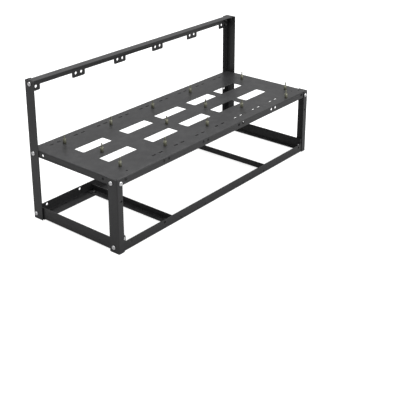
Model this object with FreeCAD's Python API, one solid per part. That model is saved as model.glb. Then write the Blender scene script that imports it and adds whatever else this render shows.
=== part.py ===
import FreeCAD, Part
import math
import os

# Open frame for a row of five fans, a computer board and two power supplies.
# Millimetres, +Z up. The origin is the centre of the footprint on the floor.
# +X is to the right along the frame, +Y is towards the fans at the rear.

Vector = FreeCAD.Vector

# Row of fans, which sets the frame's length
fan_count = 5
fan_pitch = 120.0
fan_hole_inset = 7.5
fan_hole_diameter = 6.0
fan_row_margin = 17.5

# Overall frame
frame_depth = 240.0
frame_height = 294.0
sheet = 1.5
bend_radius = 1.0
sheet_gap = 0.1

# Corner posts, folded angles with a wide side leg and a narrow face leg
front_post_side_leg = 24.0
front_post_face_leg = 14.5
rear_post_side_leg = 26.0
rear_post_face_leg = 15.5
post_hole_height = 106.5
post_hole_diameter = 5.0

# Motherboard tray
tray_top = 152.0
tray_flange = 14.5
tray_corner_relief = 3.0
flange_hole_drop = 5.5
side_flange_hole_drop = 7.2
side_flange_hole_inset = 37.5
side_flange_hole_diameter = 5.0

# Cable windows, placed from the middle of the tray and from the frame's front
window_shifts = (-226.5, -102.5, 5.5, 112.5, 210.5)
window_row_places = (84.8, 154.0)
window_length = 78.6
window_width = 27.6
window_radius = 3.0

# Paired slots, with as many pairs in a row as the tray's length takes
slot_pair_pitch = 65.0
slot_spacing = 20.0
slot_length = 10.0
slot_width = 3.6
slot_row_places = (26.2, 218.2)
slot_row_shifts = (16.0, -8.7)
slot_row_end_margins = (90.0, 22.0)

# Round holes near the tray's corners, from its nearer end and from the front
tray_hole_diameter = 4.0
left_tray_holes = ((44.9, 17.9),)
right_tray_holes = ((29.0, 26.4), (14.4, 15.9))

# Beam over the fans, a folded angle with hanging tabs
beam_drop = 0.3
beam_top_depth = 20.0
beam_lip = 17.2
beam_flap = 20.0
tab_drop = 11.2
tab_margin = 10.0
tab_radius = 3.0
tab_hole_rise = 8.8

# Lower rails
front_rail_height = 20.0
rear_rail_height = 22.5
long_rail_foot = 25.0
side_rail_height = 26.0
side_rail_foot = 9.5
end_flap = 20.0
end_flap_lift = 1.2
ear_length = 18.0
ear_rise = 14.0
ear_slot_length = 9.0
ear_slot_width = 4.8
ear_slot_inset = 14.4
ear_slot_rise = 6.4
rail_hole_diameter = 5.6
rail_hole_drop = 5.6
front_rail_left_holes = (34.0, 130.0)
front_rail_right_holes = (27.5,)
rear_rail_left_holes = (33.0, 124.0)
rear_rail_right_holes = (33.0, 124.0)

# Rails under the power supplies, screwed down onto the long rails' feet
psu_rail_inset = 159.5
psu_rail_height = 14.5
psu_rail_foot = 15.0
psu_screw_inset = 8.2
psu_screw_setback = 17.0

# Screws and nuts that hold the frame together
screw_diameter = 5.0
screw_head_diameter = 8.8
screw_head_crown = 5.6
screw_head_height = 2.2
screw_head_sides = 10
screw_end = 0.4
screw_clearance = 0.5
nut_flats = 8.0
nut_height = 3.0
nut_clearance = 0.1
thread_sides = 8
open_hole_sides = 16
beam_side_screw_drop = 6.0
beam_side_screw_inset = 14.5
beam_rear_screw_drops = (10.5, 21.0)
tray_screw_drop = 9.0
tray_side_screw_insets = (15.5, 11.5)
base_screw_height = 11.0
base_side_screw_insets = (14.0, 8.4)
face_screw_inset = 10.0

# Board standoffs, a hexagonal body with a stud above and below
standoff_flats = 6.0
standoff_body = 10.0
standoff_upper_stud = 8.0
standoff_stud_diameter = 3.0
standoff_stud_past_tray = 1.5

# Standoff places, from the left end of the frame and from its front
rear_standoffs = ((59.7, 203.0), (190.0, 203.0), (320.5, 203.0), (450.0, 203.0))
middle_standoffs = ((77.0, 115.5), (267.0, 115.0), (397.0, 115.0))
front_standoffs = ((51.0, 41.0), (178.0, 41.0), (313.5, 43.0), (447.5, 52.5))

# The last standoffs, from the right end of the frame and from its front
end_standoffs = ((32.0, 168.0), (30.0, 43.0), (74.5, 11.0))

# Places that follow from the sizes above
fan_hole_spacing = fan_pitch - 2.0 * fan_hole_inset
frame_length = fan_count * fan_pitch + 2.0 * fan_row_margin
half_length = frame_length / 2.0
half_depth = frame_depth / 2.0
inside = sheet + sheet_gap
bend_outer = bend_radius + sheet
beam_top = frame_height - beam_drop
tray_floor = tray_top - sheet
rail_floor = sheet + sheet_gap
past_post_bend = bend_outer + sheet_gap
past_rail_bend = inside + bend_outer + sheet_gap
flange_hole_height = tray_top - flange_hole_drop
tray_screw_height = tray_top - tray_screw_drop
beam_side_screw_height = beam_top - beam_side_screw_drop
beam_rear_screw_heights = [beam_top - drop for drop in beam_rear_screw_drops]
tab_bottom = beam_top - beam_lip - tab_drop


def place(x, y, z=0.0):
    """A point given from the left front floor corner of the frame."""
    return Vector(x - half_length, y - half_depth, z)


def block(x0, x1, y0, y1, z0, z1):
    return Part.makeBox(x1 - x0, y1 - y0, z1 - z0, place(x0, y0, z0))


def line(start, end):
    return Part.LineSegment(start, end).toShape()


def quarter(start, corner, end, radius):
    """A quarter turn from start to end about the point opposite the corner."""
    centre = start + end - corner
    middle = centre + (corner - centre).normalize() * radius
    return Part.Arc(start, middle, end).toShape()


def angle(corner, foot, wall, run):
    """A folded angle: foot and wall leave the outer corner line, and run is its length."""
    u = Vector(foot).normalize()
    v = Vector(wall).normalize()
    outer_foot = corner + u * bend_outer
    outer_wall = corner + v * bend_outer
    inner_corner = corner + u * sheet + v * sheet
    inner_foot = outer_foot + v * sheet
    inner_wall = outer_wall + u * sheet
    edges = [
        line(outer_foot, corner + foot),
        line(corner + foot, corner + foot + v * sheet),
        line(corner + foot + v * sheet, inner_foot),
        quarter(inner_foot, inner_corner, inner_wall, bend_radius),
        line(inner_wall, corner + wall + u * sheet),
        line(corner + wall + u * sheet, corner + wall),
        line(corner + wall, outer_wall),
        quarter(outer_wall, corner, outer_foot, bend_outer),
    ]
    return Part.Face(Part.Wire(edges)).extrude(run)


def channel(corner, foot, wall, run):
    """A folded channel: the same wall stands at both ends of the foot."""
    half = foot * 0.5
    near = angle(corner, half, wall, run)
    far = angle(corner + foot, half * -1.0, wall, run)
    return near.fuse(far).removeSplitter()


def bore(point, direction, diameter, depth):
    """A round hole that starts outside the sheet at the point."""
    start = point - direction * depth
    return Part.makeCylinder(diameter / 2.0, 2.0 * depth, start, direction)


def rounded_opening(x, y, length, width, radius, z0, z1):
    """An upright prism with rounded corners, about a centre given from the frame's corner."""
    opening = block(x - length / 2.0, x + length / 2.0, y - width / 2.0, y + width / 2.0, z0, z1)
    upright = [edge for edge in opening.Edges if abs(edge.tangentAt(edge.FirstParameter).z) > 0.9]
    return opening.makeFillet(radius, upright)


def ring(centre, direction, flats, sides):
    """The closed outline of a regular polygon across a direction, with one flat level."""
    radius = flats / 2.0 / math.cos(math.pi / sides)
    across = Vector(0, 0, 1).cross(direction)
    if across.Length < 0.5:
        across = Vector(1, 0, 0)
    across.normalize()
    up = direction.cross(across).normalize()
    corners = []
    for index in range(sides):
        turn = 2.0 * math.pi * index / sides
        corners.append(centre + across * (radius * math.cos(turn)) + up * (radius * math.sin(turn)))
    return Part.makePolygon(corners + [corners[0]])


def bar(centre, direction, flats, length, sides):
    """A bar of regular section that starts at a point and runs along a direction."""
    return Part.Face(ring(centre, direction, flats, sides)).extrude(direction * length)


def plain_hole(point, direction, flats, depth):
    """A hole that a fastener fills, cut through the sheets on both sides of the point."""
    return bar(point - direction * depth, direction, flats, 2.0 * depth, thread_sides)


def clean(shape):
    """One solid with its coplanar faces joined."""
    whole = shape.removeSplitter()
    return whole.Solids[0] if len(whole.Solids) == 1 else whole


def fan_hole_places():
    """Distances along the frame of the two holes of each fan."""
    first_fan = frame_length / 2.0 - fan_pitch * (fan_count - 1) / 2.0
    places = []
    for index in range(fan_count):
        centre = first_fan + fan_pitch * index
        places.append(centre - fan_hole_spacing / 2.0)
        places.append(centre + fan_hole_spacing / 2.0)
    return places


def face_screw_places():
    """Places along the frame of the screws through the posts' face legs."""
    return (face_screw_inset, frame_length - face_screw_inset)


def cut_all(shape, tools):
    return shape.cut(Part.makeCompound(tools)) if tools else shape


screw_hole = screw_diameter + screw_clearance
stud_hole = standoff_stud_diameter + sheet_gap
reach = 8.0 * sheet


def side_holes(height, y_places, x):
    """Screw holes through upright sheets that face left or right."""
    return [plain_hole(place(x, y, height), Vector(1, 0, 0), screw_hole, reach) for y in y_places]


def face_holes(heights, x_places, y):
    """Screw holes through upright sheets that face the front or the rear."""
    along = Vector(0, 1, 0)
    return [plain_hole(place(x, y, z), along, screw_hole, reach) for z in heights for x in x_places]


def open_holes(height, x_places, y, diameter):
    """Open holes in upright sheets that face the front or the rear."""
    along = Vector(0, 1, 0)
    shapes = []
    for x in x_places:
        start = place(x, y, height) - along * reach
        shapes.append(bar(start, along, diameter, 2.0 * reach, open_hole_sides))
    return shapes


def fan_holes(height, y):
    """Round holes that take the fans' screws."""
    along = Vector(0, 1, 0)
    return [bore(place(x, y, height), along, fan_hole_diameter, reach) for x in fan_hole_places()]


def ends_to_places(left_insets, right_insets):
    """Places along the frame, from distances to its left end and to its right end."""
    return list(left_insets) + [frame_length - inset for inset in right_insets]


def from_both_ends(insets):
    """Front-to-back places of two screws, from their distances to the front and the rear."""
    return (insets[0], frame_depth - insets[1])


def post(at_right, at_rear):
    """A corner post, as high as the tray at the front and as the frame at the rear."""
    x = frame_length if at_right else 0.0
    y = frame_depth if at_rear else 0.0
    inward_x = -1.0 if at_right else 1.0
    inward_y = -1.0 if at_rear else 1.0
    face_leg = rear_post_face_leg if at_rear else front_post_face_leg
    side_leg = rear_post_side_leg if at_rear else front_post_side_leg
    top = frame_height if at_rear else tray_top
    body = angle(
        place(x, y),
        Vector(inward_x * face_leg, 0, 0),
        Vector(0, inward_y * side_leg, 0),
        Vector(0, 0, top),
    )
    row = 1 if at_rear else 0
    face_x = face_screw_places()[1 if at_right else 0]
    cuts = side_holes(base_screw_height, [from_both_ends(base_side_screw_insets)[row]], x)
    cuts += side_holes(tray_screw_height, [from_both_ends(tray_side_screw_insets)[row]], x)
    cuts += face_holes([tray_screw_height], [face_x], y)
    cuts += open_holes(post_hole_height, [face_x], y, post_hole_diameter)
    if at_rear:
        cuts += side_holes(beam_side_screw_height, [frame_depth - beam_side_screw_inset], x)
        cuts += face_holes(beam_rear_screw_heights, [face_x], y)
    return clean(cut_all(body, cuts))


def slot_places():
    """Centres of the paired slots in both rows of the tray."""
    places = []
    for y, shift, end_margin in zip(slot_row_places, slot_row_shifts, slot_row_end_margins):
        room = half_length - end_margin - abs(shift)
        pairs_each_way = int((room - slot_spacing / 2.0) // slot_pair_pitch)
        for index in range(-pairs_each_way, pairs_each_way + 1):
            middle = half_length + shift + slot_pair_pitch * index
            places.append((middle - slot_spacing / 2.0, y))
            places.append((middle + slot_spacing / 2.0, y))
    return places


def motherboard_tray():
    """A sheet with four flanges turned down and its corners left open."""
    left = inside
    right = frame_length - inside
    front = inside
    rear = frame_depth - inside
    down = Vector(0, 0, -tray_flange)
    long_fold = channel(
        place(left + tray_corner_relief, front, tray_top),
        Vector(0, rear - front, 0),
        down,
        Vector(right - left - 2.0 * tray_corner_relief, 0, 0),
    )
    cross_fold = channel(
        place(left, front + tray_corner_relief, tray_top),
        Vector(right - left, 0, 0),
        down,
        Vector(0, rear - front - 2.0 * tray_corner_relief, 0),
    )
    tray = long_fold.fuse(cross_fold)

    low = tray_floor - sheet
    high = tray_top + sheet
    cuts = []
    for shift in window_shifts:
        for y in window_row_places:
            x = half_length + shift
            cuts.append(rounded_opening(x, y, window_length, window_width, window_radius, low, high))
    for x, y in slot_places():
        cuts.append(block(
            x - slot_length / 2.0, x + slot_length / 2.0,
            y - slot_width / 2.0, y + slot_width / 2.0, low, high,
        ))
    for x, y in all_standoffs():
        cuts.append(plain_hole(place(x, y, tray_top), Vector(0, 0, 1), stud_hole, reach))
    side_y = from_both_ends(tray_side_screw_insets)
    cuts += side_holes(tray_screw_height, side_y, 0.0)
    cuts += side_holes(tray_screw_height, side_y, frame_length)
    cuts += face_holes([tray_screw_height], face_screw_places(), 0.0)
    cuts += face_holes([tray_screw_height], face_screw_places(), frame_depth)
    cuts += open_holes(flange_hole_height, fan_hole_places(), 0.0, fan_hole_diameter)
    cuts += fan_holes(flange_hole_height, frame_depth)
    along = Vector(1, 0, 0)
    for x in (0.0, frame_length):
        for y in (side_flange_hole_inset, frame_depth - side_flange_hole_inset):
            start = place(x, y, tray_top - side_flange_hole_drop) - along * reach
            cuts.append(bar(start, along, side_flange_hole_diameter, 2.0 * reach, open_hole_sides))
    corner_holes = list(left_tray_holes) + [(frame_length - x, y) for x, y in right_tray_holes]
    for x, y in corner_holes:
        start = place(x, y, low)
        cuts.append(bar(start, Vector(0, 0, 1), tray_hole_diameter, high - low, open_hole_sides))
    return clean(cut_all(tray, cuts))


def beam_tabs(rear):
    """The tabs that hang from the lip, one per fan corner or pair of corners."""
    holes = fan_hole_places()
    groups = [[holes[0]]] + [holes[i:i + 2] for i in range(1, len(holes) - 1, 2)] + [[holes[-1]]]
    tabs = []
    for group in groups:
        x0 = group[0] - tab_margin
        x1 = group[-1] + tab_margin
        if group[0] == holes[0]:
            x0 = past_post_bend
        if group[-1] == holes[-1]:
            x1 = frame_length - past_post_bend
        tab = block(x0, x1, rear - sheet, rear, tab_bottom, beam_top - beam_lip + sheet)
        lower = [
            edge for edge in tab.Edges
            if abs(edge.tangentAt(edge.FirstParameter).y) > 0.9 and edge.CenterOfMass.z < tab_bottom + 0.01
        ]
        tabs.append(tab.makeFillet(tab_radius, lower))
    return tabs


def fan_beam():
    """A folded angle with end flaps inside the posts and tabs under its lip."""
    left = inside
    right = frame_length - inside
    rear = frame_depth - inside
    top_foot = Vector(0, -beam_top_depth, 0)
    lip = Vector(0, 0, -beam_lip)
    main = angle(
        place(left + bend_outer, rear, beam_top),
        top_foot,
        lip,
        Vector(right - left - 2.0 * bend_outer, 0, 0),
    )
    shape = main
    flap_top = beam_top - bend_outer
    for x, inward in ((left, 1.0), (right, -1.0)):
        flap = angle(
            place(x, rear, beam_top - beam_lip),
            Vector(inward * (bend_outer + sheet), 0, 0),
            Vector(0, -beam_flap, 0),
            Vector(0, 0, flap_top - beam_top + beam_lip),
        )
        shape = shape.fuse(flap)
    for tab in beam_tabs(rear):
        shape = shape.fuse(tab)
    cuts = fan_holes(tab_bottom + tab_hole_rise, frame_depth)
    cuts += face_holes(beam_rear_screw_heights, face_screw_places(), frame_depth)
    for x in (0.0, frame_length):
        cuts += side_holes(beam_side_screw_height, [frame_depth - beam_side_screw_inset], x)
    return clean(cut_all(shape, cuts))


def ear_slot(x, z):
    """An upright slot with round ends, cut through an ear from front to rear."""
    half_width = ear_slot_width / 2.0
    half_straight = (ear_slot_length - ear_slot_width) / 2.0
    slot = block(x - half_width, x + half_width, 0.0, reach, z - half_straight, z + half_straight)
    for end in (z - half_straight, z + half_straight):
        along = Vector(0, 1, 0)
        slot = slot.fuse(bar(place(x, 0.0, end), along, ear_slot_width, reach, open_hole_sides))
    return slot


def long_rail(at_rear):
    """A lower rail along the frame, with end flaps that lie inside the posts' side legs."""
    inward = -1.0 if at_rear else 1.0
    height = rear_rail_height if at_rear else front_rail_height
    y = frame_depth - inside if at_rear else inside
    left = inside
    right = frame_length - inside
    shape = angle(
        place(left + bend_outer, y),
        Vector(0, inward * long_rail_foot, 0),
        Vector(0, 0, height),
        Vector(right - left - 2.0 * bend_outer, 0, 0),
    )
    flap_bottom = bend_outer + end_flap_lift
    for x, inward_x in ((left, 1.0), (right, -1.0)):
        flap = angle(
            place(x, y, flap_bottom),
            Vector(inward_x * (bend_outer + sheet), 0, 0),
            Vector(0, inward * end_flap, 0),
            Vector(0, 0, height - flap_bottom),
        )
        shape = shape.fuse(flap)
        if not at_rear:
            ear_start = x + inward_x * bend_outer
            ear_end = x + inward_x * ear_length
            ear = block(
                min(ear_start, ear_end), max(ear_start, ear_end),
                y, y + sheet,
                height - sheet, height + ear_rise,
            )
            upper = [
                edge for edge in ear.Edges
                if abs(edge.tangentAt(edge.FirstParameter).y) > 0.9
                and edge.CenterOfMass.z > height
            ]
            shape = shape.fuse(ear.makeFillet(tab_radius, upper))
    side_y = [from_both_ends(base_side_screw_insets)[1 if at_rear else 0]]
    cuts = side_holes(base_screw_height, side_y, 0.0)
    cuts += side_holes(base_screw_height, side_y, frame_length)
    psu_screw_y = psu_screw_rows()[1 if at_rear else 0]
    for x in psu_screw_places():
        cuts.append(plain_hole(place(x, psu_screw_y), Vector(0, 0, 1), screw_hole, reach))
    if at_rear:
        places = ends_to_places(rear_rail_left_holes, rear_rail_right_holes)
    else:
        places = ends_to_places(front_rail_left_holes, front_rail_right_holes)
        for x in (inside + ear_slot_inset, frame_length - inside - ear_slot_inset):
            cuts.append(ear_slot(x, height + ear_slot_rise))
    cuts += open_holes(height - rail_hole_drop, places, y, rail_hole_diameter)
    return clean(cut_all(shape, cuts))


def side_rail(at_right):
    """A lower rail from front to rear, resting on the long rails' feet."""
    inward = -1.0 if at_right else 1.0
    offset = 2.0 * inside
    x = frame_length - offset if at_right else offset
    front = past_rail_bend
    rear = frame_depth - past_rail_bend
    shape = angle(
        place(x, front, rail_floor),
        Vector(inward * side_rail_foot, 0, 0),
        Vector(0, 0, side_rail_height),
        Vector(0, rear - front, 0),
    )
    return clean(cut_all(shape, side_holes(base_screw_height, from_both_ends(base_side_screw_insets), x)))


def psu_screw_places():
    """Places along the frame of the screws in the power supply rails' feet."""
    near = psu_rail_inset - psu_screw_inset
    return (near, frame_length - near)


def psu_screw_rows():
    """Front-to-back places of the same screws."""
    return (psu_screw_setback, frame_depth - psu_screw_setback)


def psu_rail(at_right):
    """A rail across the frame that carries one long edge of a power supply."""
    outward = 1.0 if at_right else -1.0
    x = frame_length - psu_rail_inset if at_right else psu_rail_inset
    shape = angle(
        place(x, past_rail_bend, rail_floor),
        Vector(outward * psu_rail_foot, 0, 0),
        Vector(0, 0, psu_rail_height),
        Vector(0, frame_depth - 2.0 * past_rail_bend, 0),
    )
    screw_x = psu_screw_places()[1 if at_right else 0]
    holes = [plain_hole(place(screw_x, y), Vector(0, 0, 1), screw_hole, reach) for y in psu_screw_rows()]
    return clean(cut_all(shape, holes))


def pan_screw(point, direction, length):
    """A screw whose domed head seats at the point and whose shank runs along the direction."""
    crown = point - direction * screw_head_height
    head = Part.makeLoft([
        ring(point, direction, screw_head_diameter, screw_head_sides),
        ring(crown, direction, screw_head_crown, screw_head_sides),
    ], True, True)
    shank = bar(point, direction, screw_diameter, length, thread_sides)
    return clean(head.fuse(shank))


def nut(point, direction):
    """A hexagonal nut that starts at the point and is as thick as its height along the direction."""
    body = bar(point, direction, nut_flats, nut_height, 6)
    return body.cut(plain_hole(point, direction, screw_diameter + nut_clearance, 2.0 * nut_height))


def fasteners(points, sheets):
    """Screws and nuts for a list of head seats and directions."""
    length = sheets * inside + nut_height + screw_end
    screws = []
    nuts = []
    for point, direction in points:
        screws.append(pan_screw(point, direction, length))
        seat = point + direction * (sheets * inside - sheet_gap)
        nuts.append(nut(seat, direction))
    return screws, nuts


def side_seats(height, y_places):
    seats = []
    for y in y_places:
        seats.append((place(0.0, y, height), Vector(1, 0, 0)))
        seats.append((place(frame_length, y, height), Vector(-1, 0, 0)))
    return seats


def face_seats(heights, x_places, at_rear):
    y = frame_depth if at_rear else 0.0
    direction = Vector(0, -1 if at_rear else 1, 0)
    return [(place(x, y, z), direction) for z in heights for x in x_places]


def standoff(x, y):
    """A hexagonal standoff with a threaded stud above it and one through the tray."""
    up = Vector(0, 0, 1)
    below = sheet + standoff_stud_past_tray
    body = bar(place(x, y, tray_top), up, standoff_flats, standoff_body, 6)
    length = below + standoff_body + standoff_upper_stud
    stud = bar(place(x, y, tray_top - below), up, standoff_stud_diameter, length, thread_sides)
    return clean(body.fuse(stud))


def end_standoff_places():
    return tuple((frame_length - x, y) for x, y in end_standoffs)


def all_standoffs():
    return rear_standoffs + middle_standoffs + front_standoffs + end_standoff_places()


def psu_rail_screws():
    """Screws that run down through a power supply rail's foot into a long rail's foot."""
    length = rail_floor + sheet - screw_end
    seats = [place(x, y, rail_floor + sheet) for x in psu_screw_places() for y in psu_screw_rows()]
    return [pan_screw(seat, Vector(0, 0, -1), length) for seat in seats]


def build():
    """Every node by name."""
    parts = {
        "front_left_post": post(False, False),
        "front_right_post": post(True, False),
        "rear_left_post": post(False, True),
        "rear_right_post": post(True, True),
        "motherboard_tray": motherboard_tray(),
        "fan_beam": fan_beam(),
        "front_lower_rail": long_rail(False),
        "rear_lower_rail": long_rail(True),
        "left_lower_rail": side_rail(False),
        "right_lower_rail": side_rail(True),
        "left_psu_rail": psu_rail(False),
        "right_psu_rail": psu_rail(True),
    }
    beam_side = side_seats(beam_side_screw_height, [frame_depth - beam_side_screw_inset])
    beam_rear = face_seats(beam_rear_screw_heights, face_screw_places(), True)
    tray_side = side_seats(tray_screw_height, from_both_ends(tray_side_screw_insets))
    base_side = side_seats(base_screw_height, from_both_ends(base_side_screw_insets))
    tray_face = face_seats([tray_screw_height], face_screw_places(), False)
    tray_face += face_seats([tray_screw_height], face_screw_places(), True)
    sets = {
        "beam_side": (beam_side, 2),
        "beam_rear": (beam_rear, 2),
        "tray_side": (tray_side, 2),
        "tray_face": (tray_face, 2),
        "base_side": (base_side, 3),
    }
    for name, (seats, sheets) in sets.items():
        screws, nuts = fasteners(seats, sheets)
        parts[name + "_screws"] = Part.makeCompound(screws)
        parts[name + "_nuts"] = Part.makeCompound(nuts)
    parts["psu_rail_screws"] = Part.makeCompound(psu_rail_screws())
    rows = {
        "rear_standoffs": rear_standoffs,
        "middle_standoffs": middle_standoffs,
        "front_standoffs": front_standoffs,
        "end_standoffs": end_standoff_places(),
    }
    for name, places in rows.items():
        parts[name] = Part.makeCompound([standoff(x, y) for x, y in places])
    return parts


os.makedirs("parts", exist_ok=True)
for name, shape in build().items():
    shape.exportStep("parts/" + name + ".step")
    print(name, len(shape.Solids), "solids", round(shape.Volume, 1), "mm3", shape.isValid())
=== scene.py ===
import math

import bmesh
import bpy
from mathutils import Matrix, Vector


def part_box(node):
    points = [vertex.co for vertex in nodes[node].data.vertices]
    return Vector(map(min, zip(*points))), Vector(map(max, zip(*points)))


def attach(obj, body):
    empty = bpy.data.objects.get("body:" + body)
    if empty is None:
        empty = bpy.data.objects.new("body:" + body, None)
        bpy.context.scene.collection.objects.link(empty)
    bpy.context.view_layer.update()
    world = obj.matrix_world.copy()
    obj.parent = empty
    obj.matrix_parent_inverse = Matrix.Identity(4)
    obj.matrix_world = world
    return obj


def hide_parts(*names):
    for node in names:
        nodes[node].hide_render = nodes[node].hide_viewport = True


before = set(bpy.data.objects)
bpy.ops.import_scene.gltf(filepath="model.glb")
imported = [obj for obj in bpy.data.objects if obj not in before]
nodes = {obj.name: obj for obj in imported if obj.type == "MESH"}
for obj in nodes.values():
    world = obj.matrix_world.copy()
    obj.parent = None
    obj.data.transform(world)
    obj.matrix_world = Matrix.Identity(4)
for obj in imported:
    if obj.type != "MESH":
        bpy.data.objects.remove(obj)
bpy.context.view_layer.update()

mm = 0.001
fullTurn = 2.0 * math.pi
print("stage: frame loaded,", len(nodes), "nodes")


# Shader groups. Each gives only colours, values and normals.

def newShaderGroup(name, inputs, outputs):
    group = bpy.data.node_groups.new(name, "ShaderNodeTree")
    for label, value in inputs:
        socket = group.interface.new_socket(label, in_out="INPUT", socket_type="NodeSocketFloat")
        socket.default_value = value
    for label, kind in outputs:
        group.interface.new_socket(label, in_out="OUTPUT", socket_type=kind)
    return group, group.nodes.new("NodeGroupInput"), group.nodes.new("NodeGroupOutput")


def noise(tree, coordinates, detail, roughness=0.5):
    node = tree.nodes.new("ShaderNodeTexNoise")
    node.inputs["Detail"].default_value = detail
    node.inputs["Roughness"].default_value = roughness
    tree.links.new(coordinates, node.inputs["Vector"])
    return node


def mapped(tree, value, low, high, toLow, toHigh):
    node = tree.nodes.new("ShaderNodeMapRange")
    tree.links.new(value, node.inputs["Value"])
    for label, number in (("From Min", low), ("From Max", high), ("To Min", toLow), ("To Max", toHigh)):
        node.inputs[label].default_value = number
    return node.outputs["Result"]


def multiplied(tree, first, second):
    node = tree.nodes.new("ShaderNodeMath")
    node.operation = "MULTIPLY"
    tree.links.new(first, node.inputs[0])
    tree.links.new(second, node.inputs[1])
    return node.outputs["Value"]


coatGrain = {
    "scale": 900.0,
    "depth": 0.3,
    "detail": 2.0,
    "height": 0.02 * mm,
    "mottleScale": 12.0,
    # The dust keys make lighter patches on up-facing faces: dust, and also painted top light.
    "dustAndTopLightScale": 60.0,
    "dustAndTopLightDetail": 6.0,
    "dustAndTopLightRoughness": 0.7,
    "dustAndTopLightFacing": (0.6, 1.0),
    "dustAndTopLightRange": (0.45, 0.75),
}
metalGrain = {"scale": 700.0, "depth": 0.2, "detail": 3.0, "height": 0.01 * mm, "mottleScale": 250.0}
mottleLook = {"detail": 4.0, "range": (0.35, 0.65)}


def addGrain(group, place, given, result, look):
    # Fine noise bumps the surface, and slow noise changes its gloss.
    grain = noise(group, place, look["detail"])
    group.links.new(given.outputs["Grain Scale"], grain.inputs["Scale"])
    bump = group.nodes.new("ShaderNodeBump")
    bump.inputs["Distance"].default_value = look["height"]
    group.links.new(given.outputs["Grain Depth"], bump.inputs["Strength"])
    group.links.new(grain.outputs["Fac"], bump.inputs["Height"])
    group.links.new(bump.outputs["Normal"], result.inputs["Normal"])
    mottle = noise(group, place, mottleLook["detail"])
    group.links.new(given.outputs["Mottle Scale"], mottle.inputs["Scale"])
    spread = mapped(group, mottle.outputs["Fac"], *mottleLook["range"], 0.0, 1.0)
    group.links.new(spread, result.inputs["Mottle"])


def powderCoatGroup():
    # Orange peel of a baked powder coat, its slow change of gloss, and lighter patches on what faces up:
    # dust, and also painted light on the tops.
    look = coatGrain
    group, given, result = newShaderGroup(
        "powderCoat",
        [
            ("Grain Scale", look["scale"]), ("Grain Depth", look["depth"]),
            ("Mottle Scale", look["mottleScale"]), ("Dust And Top Light Scale", look["dustAndTopLightScale"]),
        ],
        [("Mottle", "NodeSocketFloat"), ("Dust And Top Light", "NodeSocketFloat"), ("Normal", "NodeSocketVector")],
    )
    place = group.nodes.new("ShaderNodeTexCoord").outputs["Object"]
    addGrain(group, place, given, result, look)
    # Painted top light and dust: faces that point up get a lighter, patchy mask.
    facing = group.nodes.new("ShaderNodeSeparateXYZ")
    group.links.new(group.nodes.new("ShaderNodeNewGeometry").outputs["Normal"], facing.inputs["Vector"])
    upward = mapped(group, facing.outputs["Z"], *look["dustAndTopLightFacing"], 0.0, 1.0)
    dustAndTopLightPatches = noise(group, place, look["dustAndTopLightDetail"], look["dustAndTopLightRoughness"])
    group.links.new(given.outputs["Dust And Top Light Scale"], dustAndTopLightPatches.inputs["Scale"])
    dustAndTopLightMask = mapped(group, dustAndTopLightPatches.outputs["Fac"], *look["dustAndTopLightRange"], 0.0, 1.0)
    group.links.new(multiplied(group, upward, dustAndTopLightMask), result.inputs["Dust And Top Light"])
    return group


def plainMetalGroup():
    # Fine scratches and a slow change of gloss on turned and plated metal.
    look = metalGrain
    group, given, result = newShaderGroup(
        "plainMetal",
        [
            ("Grain Scale", look["scale"]), ("Grain Depth", look["depth"]),
            ("Mottle Scale", look["mottleScale"]),
        ],
        [("Mottle", "NodeSocketFloat"), ("Normal", "NodeSocketVector")],
    )
    place = group.nodes.new("ShaderNodeTexCoord").outputs["Object"]
    addGrain(group, place, given, result, look)
    return group


def newMaterial(name, group, look):
    material = bpy.data.materials.new(name)
    material.use_nodes = True
    tree = material.node_tree
    shader = tree.nodes["Principled BSDF"]
    effect = tree.nodes.new("ShaderNodeGroup")
    effect.node_tree = group
    tree.links.new(effect.outputs["Normal"], shader.inputs["Normal"])
    roughness = mapped(tree, effect.outputs["Mottle"], 0.0, 1.0, *look["roughness"])
    tree.links.new(roughness, shader.inputs["Roughness"])
    shader.inputs["Metallic"].default_value = look["metallic"]
    shader.inputs["Base Color"].default_value = (*look["colour"], 1.0)
    # Up-facing patches get a lighter colour: dust, and also painted light on the tops.
    if "dustAndTopLightColour" in look:
        mix = tree.nodes.new("ShaderNodeMix")
        mix.data_type = "RGBA"
        colourSockets = [socket for socket in mix.inputs if socket.type == "RGBA"]
        colourSockets[0].default_value = (*look["colour"], 1.0)
        colourSockets[1].default_value = (*look["dustAndTopLightColour"], 1.0)
        amount = mapped(tree, effect.outputs["Dust And Top Light"], 0.0, 1.0, 0.0, look["dustAndTopLightAmount"])
        tree.links.new(amount, mix.inputs["Factor"])
        mixed = [socket for socket in mix.outputs if socket.type == "RGBA"][0]
        tree.links.new(mixed, shader.inputs["Base Color"])
    return material


finishes = {
    "black_coat": {
        "colour": (0.016, 0.016, 0.017),
        # The dust colour is dust and also painted top light, mixed in on up-facing faces.
        "dustAndTopLightColour": (0.07, 0.07, 0.07),
        "dustAndTopLightAmount": 0.25,
        "metallic": 0.0,
        "roughness": (0.36, 0.46),
    },
    "zinc_screws": {"colour": (0.70, 0.70, 0.71), "metallic": 1.0, "roughness": (0.28, 0.42)},
    "black_screws": {"colour": (0.012, 0.012, 0.013), "metallic": 0.0, "roughness": (0.40, 0.52)},
    "brass": {"colour": (0.142, 0.142, 0.102), "metallic": 0.25, "roughness": (0.34, 0.48)},
}
powderCoat = powderCoatGroup()
plainMetal = plainMetalGroup()
materials = {}
for slotName, look in finishes.items():
    group = powderCoat if slotName == "black_coat" else plainMetal
    materials[slotName] = newMaterial(slotName + "_look", group, look)
print("stage: materials made,", len(materials))


def meshObject(name, points, faces):
    mesh = bpy.data.meshes.new(name)
    mesh.from_pydata([tuple(point) for point in points], [], faces)
    mesh.validate()
    made = bpy.data.objects.new(name, mesh)
    bpy.context.scene.collection.objects.link(made)
    return made


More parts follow.
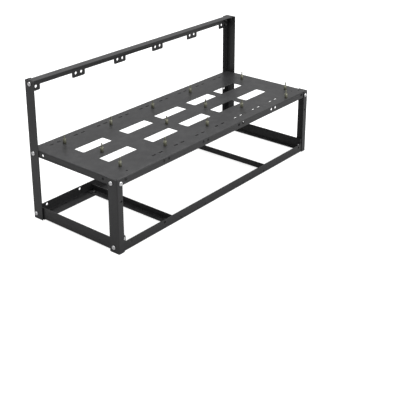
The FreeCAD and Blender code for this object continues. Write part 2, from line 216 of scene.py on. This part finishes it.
def turnedShape(name, rings, segments, radiusAt=None):
    # Rings of (radius, height) from one end of the axis to the other. A ring of no radius closes an end.
    points = []
    starts = []
    for radius, height in rings:
        starts.append(len(points))
        if radius == 0.0:
            points.append((0.0, 0.0, height))
            continue
        for index in range(segments):
            turn = fullTurn * index / segments
            reach = radius if radiusAt is None else radiusAt(turn, height)
            points.append((reach * math.cos(turn), reach * math.sin(turn), height))
    faces = []
    for ringIndex in range(len(rings) - 1):
        low, high = starts[ringIndex], starts[ringIndex + 1]
        lowIsPoint = rings[ringIndex][0] == 0.0
        highIsPoint = rings[ringIndex + 1][0] == 0.0
        for index in range(segments):
            after = (index + 1) % segments
            if lowIsPoint:
                faces.append((low, high + after, high + index))
            elif highIsPoint:
                faces.append((low + index, low + after, high))
            else:
                faces.append((low + index, low + after, high + after, high + index))
    return meshObject(name, points, faces)


threadLook = {"depthShare": 0.55, "stepsPerPitch": 6.0, "segments": 20}


def threadRadius(diameter, pitch):
    # The radius of a helical thread at a turn and height.
    depth = threadLook["depthShare"] * pitch

    def radiusAt(turn, height):
        phase = (height / pitch - turn / fullTurn) % 1.0
        return diameter / 2.0 - depth * abs(2.0 * phase - 1.0)

    return radiusAt


def threadedRod(name, diameter, pitch, start, end):
    steps = max(2, int(round((end - start) / pitch * threadLook["stepsPerPitch"])))
    rings = [(0.0, start)]
    rings += [(diameter / 2.0, start + (end - start) * index / steps) for index in range(steps + 1)]
    rings.append((0.0, end))
    return turnedShape(name, rings, threadLook["segments"], threadRadius(diameter, pitch))


def crossTool(name, width, length, top, bottom, taper):
    # A cross-shaped plug that narrows from top to bottom, for a screw's drive.
    half, reach = width / 2.0, length / 2.0
    outline = [
        (half, half), (half, reach), (-half, reach), (-half, half), (-reach, half), (-reach, -half),
        (-half, -half), (-half, -reach), (half, -reach), (half, -half), (reach, -half), (reach, half),
    ]
    points = [(x, y, top) for x, y in outline] + [(x * taper, y * taper, bottom) for x, y in outline]
    count = len(outline)
    faces = [tuple(range(count)), tuple(reversed(range(count, 2 * count)))]
    for index in range(count):
        after = (index + 1) % count
        faces.append((index, index + count, after + count, after))
    return meshObject(name, points, faces)


def plainMesh(made, name):
    # The mesh that an object shows with its modifiers.
    graph = bpy.context.evaluated_depsgraph_get()
    mesh = bpy.data.meshes.new_from_object(made.evaluated_get(graph))
    mesh.name = name
    return mesh


def joined(name, parts):
    # The first part stays and takes in the meshes of the others.
    with bpy.context.temp_override(
        active_object=parts[0], object=parts[0],
        selected_objects=parts, selected_editable_objects=parts,
    ):
        bpy.ops.object.join()
    parts[0].name = name
    return parts[0]


screwLook = {
    "headDiameter": 8.6 * mm,
    "headHeight": 2.2 * mm,
    "headSegments": 40,
    "edgeBreak": 0.2 * mm,
    "rimShare": 0.3,
    "crownShare": 0.52,
    "crownSteps": 7,
    "shankDiameter": 4.9 * mm,
    "threadPitch": 0.8 * mm,
    "driveWidth": 1.3 * mm,
    "driveLength": 4.8 * mm,
    "driveDepth": 1.4 * mm,
    "driveTaper": 0.55,
    "driveClear": 1.0 * mm,
    "intoHead": 0.2 * mm,
    "tipInset": 2.3 * mm,
}


def screwShape(name, length):
    # Head below the seat at height 0, shank above it.
    look = screwLook
    radius, height = look["headDiameter"] / 2.0, look["headHeight"]
    edge, rim, crown, steps = look["edgeBreak"], look["rimShare"], look["crownShare"], look["crownSteps"]
    rings = [(0.0, 0.0), (radius - edge, 0.0), (radius, -edge), (radius, -rim * height)]
    for index in range(1, steps + 1):
        turn = 0.5 * math.pi * index / steps
        rings.append((
            radius * (crown + (1.0 - crown) * math.cos(turn)),
            -height * (rim + (1.0 - rim) * math.sin(turn)),
        ))
    rings.append((0.0, -height))
    head = turnedShape(name + "Head", rings, look["headSegments"])
    head.data.flip_normals()
    tool = crossTool(
        name + "Drive", look["driveWidth"], look["driveLength"],
        -height - look["driveClear"], -height + look["driveDepth"], look["driveTaper"],
    )
    tool.data.flip_normals()
    cut = head.modifiers.new("drive", "BOOLEAN")
    cut.operation = "DIFFERENCE"
    cut.solver = "EXACT"
    cut.object = tool
    headMesh = plainMesh(head, name + "HeadCut")
    head.modifiers.clear()
    head.data = headMesh
    bpy.data.objects.remove(tool)
    shank = threadedRod(
        name + "Shank", look["shankDiameter"], look["threadPitch"], -look["intoHead"], length,
    )
    return joined(name, [head, shank])


nutLook = {"flats": 7.9 * mm, "height": 2.95 * mm, "bore": 4.9 * mm, "washerShare": 0.94, "spin": 0.2}

# A bar without a bore closes at its ends: rings of the closed radius are welded to a point.
hexLook = {"segments": 48, "cornerSlope": 30.0, "closedRadius": 0.01 * mm, "weldWithin": 0.03 * mm}


def hexReach(flats):
    # The distance from a hexagon's middle to its side at a turn.
    def radiusAt(turn):
        sector = (turn + math.pi / 6.0) % (math.pi / 3.0) - math.pi / 6.0
        return flats / 2.0 / math.cos(sector)

    return radiusAt


def hexBar(name, flats, start, end, share, bore=0.0):
    # A hexagonal bar with its corners turned off at both ends, open along its axis when it has a bore.
    segments = hexLook["segments"]
    reachAt = hexReach(flats)
    washer = flats / 2.0 * share
    slope = math.tan(math.radians(hexLook["cornerSlope"]))
    levels = [
        (lambda reach: bore / 2.0, lambda reach: start),
        (lambda reach: washer, lambda reach: start),
        (lambda reach: reach, lambda reach: start + (reach - washer) * slope),
        (lambda reach: reach, lambda reach: end - (reach - washer) * slope),
        (lambda reach: washer, lambda reach: end),
        (lambda reach: bore / 2.0, lambda reach: end),
    ]
    if bore:
        levels.append(levels[0])
    points = []
    for radiusOf, heightOf in levels:
        for index in range(segments):
            turn = fullTurn * index / segments
            reach = reachAt(turn)
            radius = max(radiusOf(reach), hexLook["closedRadius"])
            points.append((radius * math.cos(turn), radius * math.sin(turn), heightOf(reach)))
    faces = []
    for level in range(len(levels) - 1):
        for index in range(segments):
            after = (index + 1) % segments
            low, high = level * segments, (level + 1) * segments
            faces.append((low + index, low + after, high + after, high + index))
    made = meshObject(name, points, faces)
    weld = made.modifiers.new("weld", "WELD")
    weld.merge_threshold = hexLook["weldWithin"]
    mesh = plainMesh(made, name)
    made.modifiers.clear()
    made.data = mesh
    return made


def nutShape(name):
    return hexBar(name, nutLook["flats"], 0.0, nutLook["height"], nutLook["washerShare"], nutLook["bore"])


standoffLook = {
    "flats": 5.95 * mm,
    "body": 10.0 * mm,
    "studDiameter": 2.95 * mm,
    "threadPitch": 0.6 * mm,
    "washerShare": 0.93,
    "spin": 1.0,
    "firstSeed": 40,
}


def standoffShape(name, above, below):
    # Seat on the tray at height 0, threaded stud above the body and below the seat.
    look = standoffLook
    body = hexBar(name + "Body", look["flats"], 0.0, look["body"], look["washerShare"])
    stud = threadedRod(name + "Stud", look["studDiameter"], look["threadPitch"], -below, above)
    return joined(name, [body, stud])


def copiesTree():
    # One copy of an object per point, turned to its facing and spun about its own axis by a fixed seed.
    tree = bpy.data.node_groups.new("placeCopies", "GeometryNodeTree")
    sockets = {}
    for label, kind in (
        ("Geometry", "NodeSocketGeometry"), ("Copied Shape", "NodeSocketObject"),
        ("Spin", "NodeSocketFloat"), ("Seed", "NodeSocketInt"), ("Material", "NodeSocketMaterial"),
    ):
        sockets[label] = tree.interface.new_socket(label, in_out="INPUT", socket_type=kind)
    tree.interface.new_socket("Geometry", in_out="OUTPUT", socket_type="NodeSocketGeometry")
    given = tree.nodes.new("NodeGroupInput")
    result = tree.nodes.new("NodeGroupOutput")
    shape = tree.nodes.new("GeometryNodeObjectInfo")
    shape.inputs["As Instance"].default_value = True
    facing = tree.nodes.new("GeometryNodeInputNamedAttribute")
    facing.data_type = "FLOAT_VECTOR"
    facing.inputs["Name"].default_value = "facing"
    copies = tree.nodes.new("GeometryNodeInstanceOnPoints")
    spin = tree.nodes.new("FunctionNodeRandomValue")
    spin.data_type = "FLOAT"
    axis = tree.nodes.new("ShaderNodeCombineXYZ")
    spun = tree.nodes.new("GeometryNodeRotateInstances")
    real = tree.nodes.new("GeometryNodeRealizeInstances")
    coat = tree.nodes.new("GeometryNodeSetMaterial")
    link = tree.links.new
    link(given.outputs["Copied Shape"], shape.inputs["Object"])
    link(given.outputs["Geometry"], copies.inputs["Points"])
    link(shape.outputs["Geometry"], copies.inputs["Instance"])
    link([s for s in facing.outputs if s.enabled][0], copies.inputs["Rotation"])
    spinLow = [s for s in spin.inputs if s.name == "Min" and s.type == "VALUE"][0]
    spinHigh = [s for s in spin.inputs if s.name == "Max" and s.type == "VALUE"][0]
    spinLow.default_value = 0.0
    link(given.outputs["Spin"], spinHigh)
    link(given.outputs["Seed"], spin.inputs["Seed"])
    link([s for s in spin.outputs if s.type == "VALUE"][0], axis.inputs["Z"])
    link(copies.outputs["Instances"], spun.inputs["Instances"])
    link(axis.outputs["Vector"], spun.inputs["Rotation"])
    spun.inputs["Local Space"].default_value = True
    link(spun.outputs["Instances"], real.inputs["Geometry"])
    link(real.outputs["Geometry"], coat.inputs["Geometry"])
    link(given.outputs["Material"], coat.inputs["Material"])
    link(coat.outputs["Geometry"], result.inputs["Geometry"])
    return tree, sockets


copies, copySockets = copiesTree()


islandGrid = 0.01 * mm


def islands(name):
    # The lowest and highest corner of each separate solid of a node.
    mesh = nodes[name].data
    owner = list(range(len(mesh.vertices)))

    def root(index):
        while owner[index] != index:
            owner[index] = owner[owner[index]]
            index = owner[index]
        return index

    seen = {}
    for vertex in mesh.vertices:
        key = tuple(round(value / islandGrid) for value in vertex.co)
        owner[vertex.index] = root(seen.setdefault(key, vertex.index))
    for edge in mesh.edges:
        owner[root(edge.vertices[0])] = root(edge.vertices[1])
    boxes = {}
    for vertex in mesh.vertices:
        boxes.setdefault(root(vertex.index), []).append(vertex.co)
    found = []
    for group in boxes.values():
        low = Vector(tuple(min(co[axis] for co in group) for axis in range(3)))
        high = Vector(tuple(max(co[axis] for co in group) for axis in range(3)))
        found.append((low, high))
    return sorted(found, key=lambda pair: tuple(pair[0]))


def copiedMesh(name, shape, seats, slotName, spin, seed):
    # Seats are (point, direction) pairs; a shape's own axis is turned to the direction.
    carrier = meshObject(name + "Seats", [point for point, direction in seats], [])
    attribute = carrier.data.attributes.new("facing", "FLOAT_VECTOR", "POINT")
    for item, (point, direction) in zip(attribute.data, seats):
        item.vector = direction.to_track_quat("Z", "Y").to_euler()
    modifier = carrier.modifiers.new("copies", "NODES")
    modifier.node_group = copies
    for label, value in (
        ("Copied Shape", shape), ("Spin", spin), ("Seed", seed), ("Material", materials[slotName]),
    ):
        modifier[copySockets[label].identifier] = value
    mesh = plainMesh(carrier, name)
    bpy.data.objects.remove(carrier)
    return mesh


def finished(pieceName, mesh, slotName, replaced):
    # A visible piece that takes the place of a node of the frame.
    piece = bpy.data.objects.new(pieceName, mesh)
    bpy.context.scene.collection.objects.link(piece)
    piece.data.materials.clear()
    piece.data.materials.append(materials[slotName])
    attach(piece, "root")
    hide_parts(replaced)
    return piece


def placedCopies(pieceName, shape, seats, slotName, spin, seed, replaced):
    mesh = copiedMesh(pieceName, shape, seats, slotName, spin, seed)
    mesh.shade_smooth()
    return finished(pieceName, mesh, slotName, replaced)


def inwardOf(low, high, axis):
    # From the nearer outer side towards the middle of the frame.
    middle = (low + high) / 2.0
    direction = Vector((0.0, 0.0, 0.0))
    direction[axis] = -1.0 if middle[axis] > 0.0 else 1.0
    return direction


def fastenerSeats(name, axis, inset):
    # Points on the fasteners' axes, set in from their outer ends.
    seats = []
    for low, high in islands(name):
        direction = inwardOf(low, high, axis)
        point = (low + high) / 2.0
        outer = low[axis] if direction[axis] > 0.0 else high[axis]
        point[axis] = outer + direction[axis] * inset
        seats.append((point, direction))
    return seats


# Folded sheets take the frame's own shapes, with their cut edges broken.
sheetLook = {
    "slot": "black_coat",
    "edgeBreak": 0.15 * mm,
    "edgeAngle": 50.0,
    "smoothAngle": 28.0,
    "mergeWithin": 0.002 * mm,
    "flatWithin": 0.5,
}

# A low row of small holes in the front rail, the same to both sides of their middle.
railHoles = {
    "fromMiddle": (66.0 * mm, 92.0 * mm, 143.5 * mm),
    "middle": 4.0 * mm,
    "height": 6.2 * mm,
    "diameter": 4.0 * mm,
    "reach": 3.0 * mm,
    "segments": 20,
}


def mergedCopy(name):
    form = bmesh.new()
    form.from_mesh(nodes[name].data)
    bmesh.ops.remove_doubles(form, verts=form.verts, dist=sheetLook["mergeWithin"])
    bmesh.ops.dissolve_limit(
        form, angle_limit=math.radians(sheetLook["flatWithin"]), verts=form.verts, edges=form.edges,
    )
    mesh = bpy.data.meshes.new(name + "Sheet")
    form.to_mesh(mesh)
    form.free()
    made = bpy.data.objects.new(name + "Sheet", mesh)
    bpy.context.scene.collection.objects.link(made)
    return made


def railHoleCutter():
    look = railHoles
    radius = look["diameter"] / 2.0
    rings = [(0.0, -look["reach"]), (radius, -look["reach"]), (radius, look["reach"]), (0.0, look["reach"])]
    pin = turnedShape("railHolePin", rings, look["segments"])
    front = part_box("front_lower_rail")[0].y
    seats = []
    for side in (-1.0, 1.0):
        for distance in look["fromMiddle"]:
            point = Vector((look["middle"] + side * distance, front, look["height"]))
            seats.append((point, Vector((0.0, 1.0, 0.0))))
    mesh = copiedMesh("railHolePins", pin, seats, sheetLook["slot"], spin=0.0, seed=1)
    bpy.data.objects.remove(pin)
    cutter = bpy.data.objects.new("railHolePins", mesh)
    bpy.context.scene.collection.objects.link(cutter)
    return cutter


def finishedSheet(name, cutter=None):
    sheet = mergedCopy(name)
    if cutter:
        cut = sheet.modifiers.new("holes", "BOOLEAN")
        cut.operation = "DIFFERENCE"
        cut.solver = "EXACT"
        cut.object = cutter
    edges = sheet.modifiers.new("edges", "BEVEL")
    edges.width = sheetLook["edgeBreak"]
    edges.segments = 1
    # Held back where short edges would cross. The tray takes the full width.
    edges.use_clamp_overlap = name != "motherboard_tray"
    edges.limit_method = "ANGLE"
    edges.angle_limit = math.radians(sheetLook["edgeAngle"])
    mesh = plainMesh(sheet, name + "_detail")
    mesh.shade_smooth()
    mesh.set_sharp_from_angle(angle=math.radians(sheetLook["smoothAngle"]))
    bpy.data.objects.remove(sheet)
    return finished(name + "_detail", mesh, sheetLook["slot"], name)


sheetNodes = [name for name in nodes if name.endswith(("_post", "_tray", "_beam", "_rail"))]
railCutter = railHoleCutter()
for name in sheetNodes:
    finishedSheet(name, railCutter if name == "front_lower_rail" else None)
bpy.data.objects.remove(railCutter)
print("stage: sheets finished,", len(sheetNodes))


# The axis is that of the screws, and the seed sets how their drives are turned.
fastenerSets = {
    "beam_side": {"axis": 0, "slot": "zinc_screws", "seed": 3},
    "beam_rear": {"axis": 1, "slot": "zinc_screws", "seed": 5},
    "tray_side": {"axis": 0, "slot": "zinc_screws", "seed": 8},
    "tray_face": {"axis": 1, "slot": "zinc_screws", "seed": 13},
    "base_side": {"axis": 0, "slot": "zinc_screws", "seed": 21, "tipInset": 0.0},
    "psu_rail": {"axis": 2, "slot": "black_screws", "seed": 34, "tipInset": 0.0},
}
nutForm = nutShape("nutForm")
for setName, given in fastenerSets.items():
    axis = given["axis"]
    low, high = islands(setName + "_screws")[0]
    tipInset = given.get("tipInset", screwLook["tipInset"])
    shankLength = high[axis] - low[axis] - screwLook["headHeight"] - tipInset
    screwForm = screwShape(setName + "ScrewForm", shankLength)
    screwNode = setName + "_screws"
    seats = fastenerSeats(screwNode, axis, screwLook["headHeight"])
    placedCopies(
        screwNode + "_detail", screwForm, seats, given["slot"], fullTurn, given["seed"], screwNode,
    )
    bpy.data.objects.remove(screwForm)
    nutNode = setName + "_nuts"
    if nutNode in nodes:
        seats = fastenerSeats(nutNode, axis, 0.0)
        placedCopies(
            nutNode + "_detail", nutForm, seats, "black_screws", nutLook["spin"], given["seed"] + 1, nutNode,
        )
bpy.data.objects.remove(nutForm)
print("stage: screws and nuts placed,", len(fastenerSets), "sets")

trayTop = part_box("motherboard_tray")[1].z
standoffNodes = ["rear_standoffs", "middle_standoffs", "front_standoffs", "end_standoffs"]
low, high = islands(standoffNodes[0])[0]
standoffForm = standoffShape("standoffForm", high.z - trayTop, trayTop - low.z)
for index, name in enumerate(standoffNodes):
    seats = []
    for low, high in islands(name):
        middle = (low + high) / 2.0
        seats.append((Vector((middle.x, middle.y, trayTop)), Vector((0.0, 0.0, 1.0))))
    seed = standoffLook["firstSeed"] + index
    placedCopies(name + "_detail", standoffForm, seats, "brass", standoffLook["spin"], seed, name)
bpy.data.objects.remove(standoffForm)
print("stage: standoffs placed,", len(standoffNodes), "rows")


# Camera, solved for the photo's view.
viewLook = {
    "place": (-1.31214, -1.12620, 0.82288),
    "yaw": 50.7558,
    "pitch": 20.0713,
    "lens": 77.5345,
    "sensor": 36.0,
    "shiftY": -0.25156,
    "farthest": 60.0,
}
camera = bpy.data.objects.new("camera", bpy.data.cameras.new("camera"))
bpy.context.scene.collection.objects.link(camera)
yaw, pitch = math.radians(viewLook["yaw"]), math.radians(viewLook["pitch"])
forward = Vector((math.sin(yaw) * math.cos(pitch), math.cos(yaw) * math.cos(pitch), -math.sin(pitch)))
camera.location = viewLook["place"]
camera.rotation_euler = forward.to_track_quat("-Z", "Y").to_euler()
camera.data.lens = viewLook["lens"]
camera.data.sensor_width = viewLook["sensor"]
camera.data.sensor_fit = "HORIZONTAL"
camera.data.shift_y = viewLook["shiftY"]
camera.data.dof.use_dof = False
camera.data.clip_end = viewLook["farthest"]
bpy.context.scene.camera = camera


# Studio: a pale floor that runs on into a white room. The room's light falls off towards the horizon.
studioLook = {
    "floorSize": 30.0,
    "floorColour": (0.36, 0.36, 0.36),
    "floorRoughness": 0.9,
    "floorGlow": 0.82,
    "roomColour": (1.0, 1.0, 1.0),
    "roomAbove": 0.80,
    "roomHorizon": 0.34,
    "fadeHeight": 0.9,
}
half = studioLook["floorSize"] / 2.0
floor = meshObject(
    "floor",
    [(-half, -half, 0.0), (half, -half, 0.0), (half, half, 0.0), (-half, half, 0.0)],
    [(0, 1, 2, 3)],
)
floorMaterial = bpy.data.materials.new("floor_look")
floorMaterial.use_nodes = True
floorTree = floorMaterial.node_tree
floorShader = floorTree.nodes["Principled BSDF"]
floorShader.inputs["Base Color"].default_value = (*studioLook["floorColour"], 1.0)
floorShader.inputs["Roughness"].default_value = studioLook["floorRoughness"]
floorShader.inputs["Emission Color"].default_value = (*studioLook["roomColour"], 1.0)
seen = floorTree.nodes.new("ShaderNodeLightPath").outputs["Is Camera Ray"]
glow = mapped(floorTree, seen, 0.0, 1.0, 0.0, studioLook["floorGlow"])
floorTree.links.new(glow, floorShader.inputs["Emission Strength"])
floor.data.materials.append(floorMaterial)

world = bpy.data.worlds.new("studio")
world.use_nodes = True
roomTree = world.node_tree
room = roomTree.nodes["Background"]
room.inputs["Color"].default_value = (*studioLook["roomColour"], 1.0)
height = roomTree.nodes.new("ShaderNodeSeparateXYZ")
roomTree.links.new(roomTree.nodes.new("ShaderNodeTexCoord").outputs["Generated"], height.inputs["Vector"])
fading = mapped(
    roomTree, height.outputs["Z"], 0.0, studioLook["fadeHeight"],
    studioLook["roomHorizon"], studioLook["roomAbove"],
)
brightest = roomTree.nodes.new("ShaderNodeMath")
brightest.operation = "MAXIMUM"
roomTree.links.new(fading, brightest.inputs[0])
roomTree.links.new(roomTree.nodes.new("ShaderNodeLightPath").outputs["Is Camera Ray"], brightest.inputs[1])
roomTree.links.new(brightest.outputs["Value"], room.inputs["Strength"])
bpy.context.scene.world = world
bpy.context.scene.view_settings.view_transform = "Standard"

lamps = {
    "topSoftbox": {"place": (0.0, 0.2, 2.4), "aim": (0.0, 0.0, 0.1), "size": (2.4, 2.0), "power": 80.0},
    "frontSoftbox": {"place": (0.6, -2.6, 1.4), "aim": (0.0, 0.0, 0.15), "size": (1.6, 1.2), "power": 46.0},
}
for name, given in lamps.items():
    data = bpy.data.lights.new(name, "AREA")
    data.shape = "RECTANGLE"
    data.size, data.size_y = given["size"]
    data.energy = given["power"]
    lamp = bpy.data.objects.new(name, data)
    bpy.context.scene.collection.objects.link(lamp)
    lamp.location = given["place"]
    lamp.rotation_euler = (Vector(given["aim"]) - Vector(given["place"])).to_track_quat("-Z", "Y").to_euler()
print("stage: studio lit,", len(lamps), "lamps")
